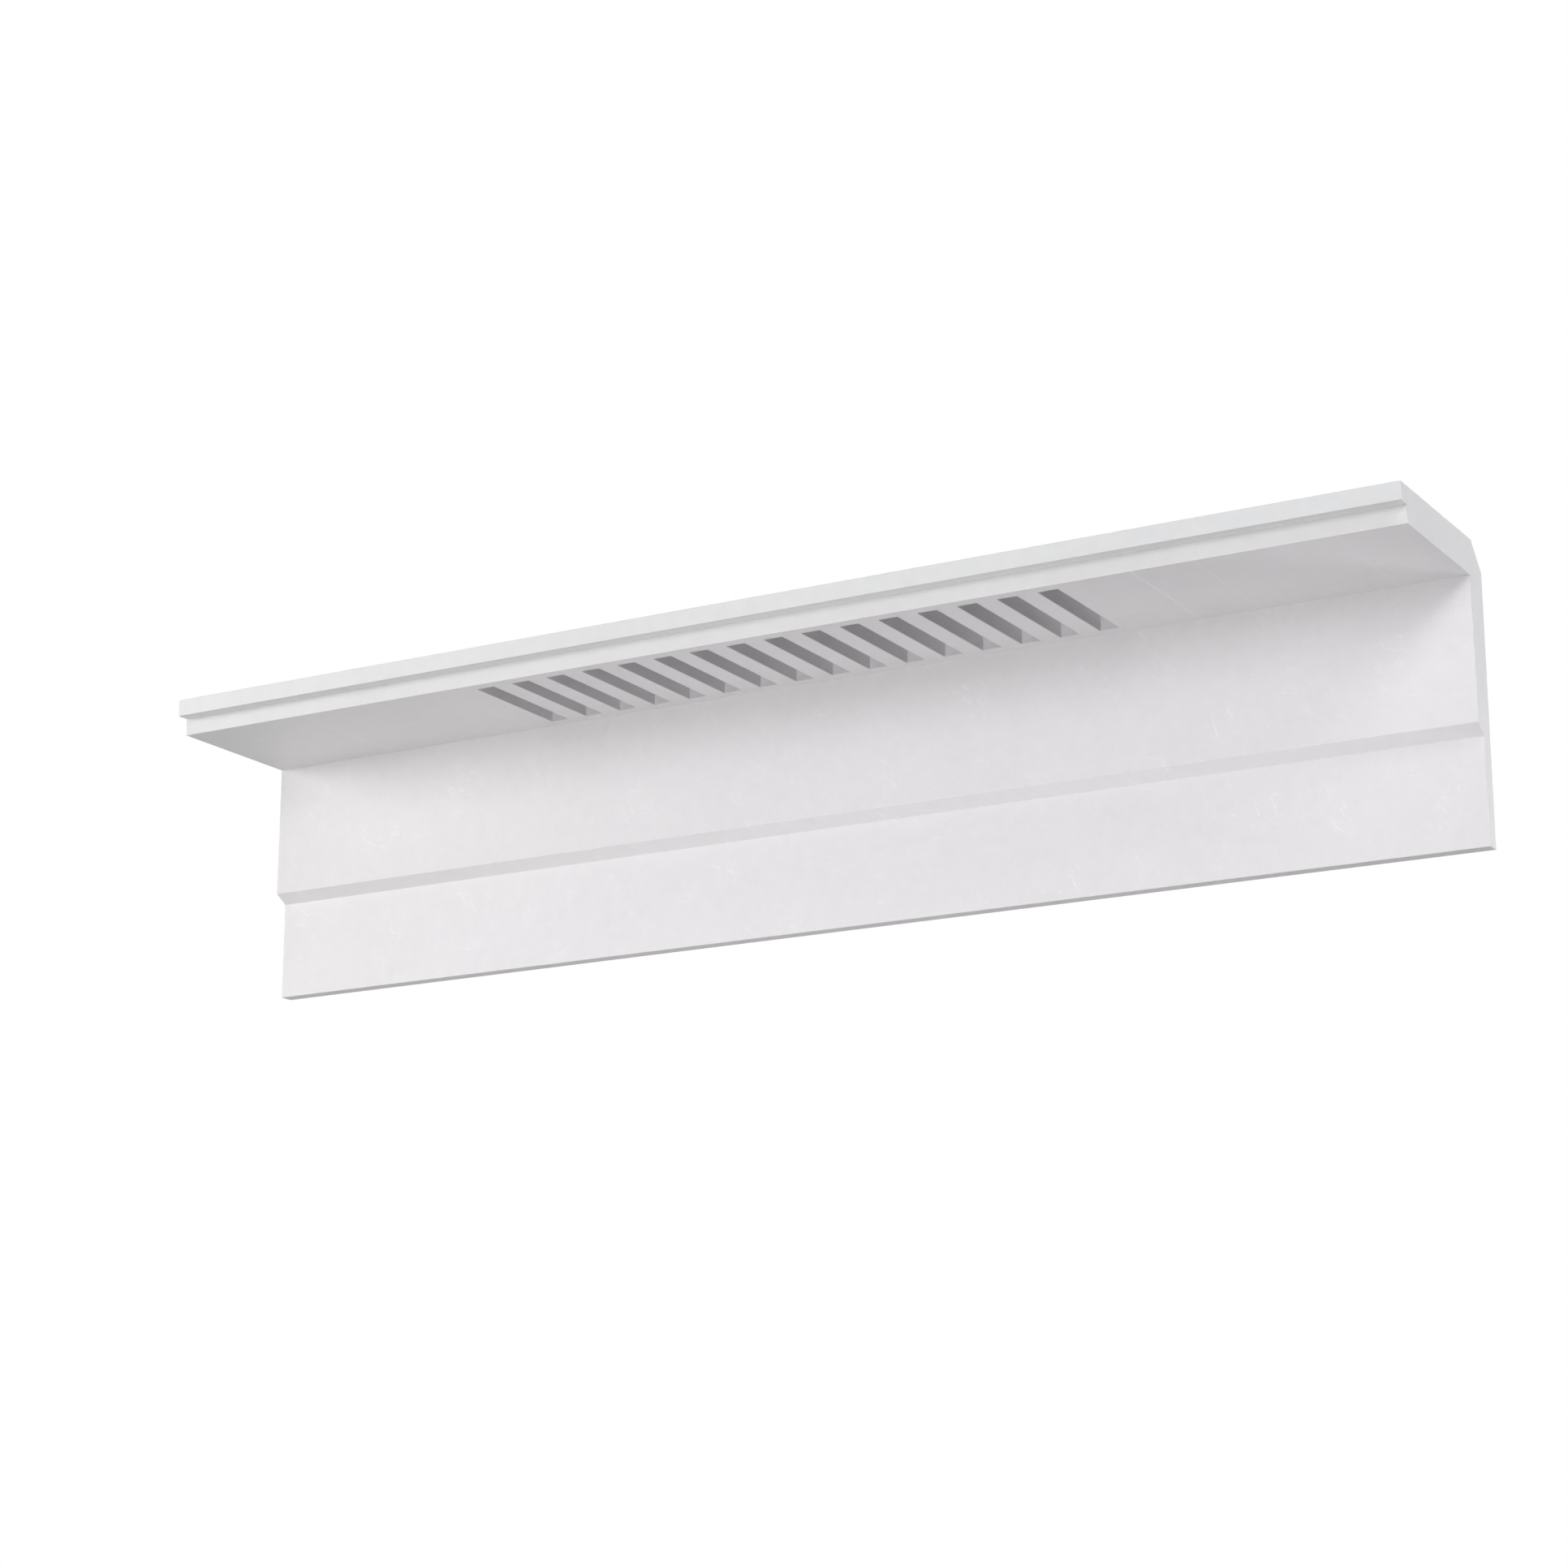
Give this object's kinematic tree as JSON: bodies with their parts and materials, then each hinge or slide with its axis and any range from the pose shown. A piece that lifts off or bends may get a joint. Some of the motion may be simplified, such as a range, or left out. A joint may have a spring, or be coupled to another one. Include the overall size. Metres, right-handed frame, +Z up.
{
  "type": "cornice",
  "caption": "Straight length of cast plaster cornice: a shelf with a stepped front edge and a row of air slots, over a wall board with a sloping ledge.",
  "frame": {"origin": "middle of the flat back face that bears on the wall: halfway along the length and halfway up the flat", "axes": "+X along the length, to the right for someone who faces the wall; +Y into the wall; +Z up, to the ceiling"},
  "size_m": [1, 0.1528, 0.2112],
  "materials": {
    "plaster": "matt cast gypsum plaster, near white"
  },
  "bodies": {
    "root": {"cornice": "plaster"}
  },
  "joints": []
}
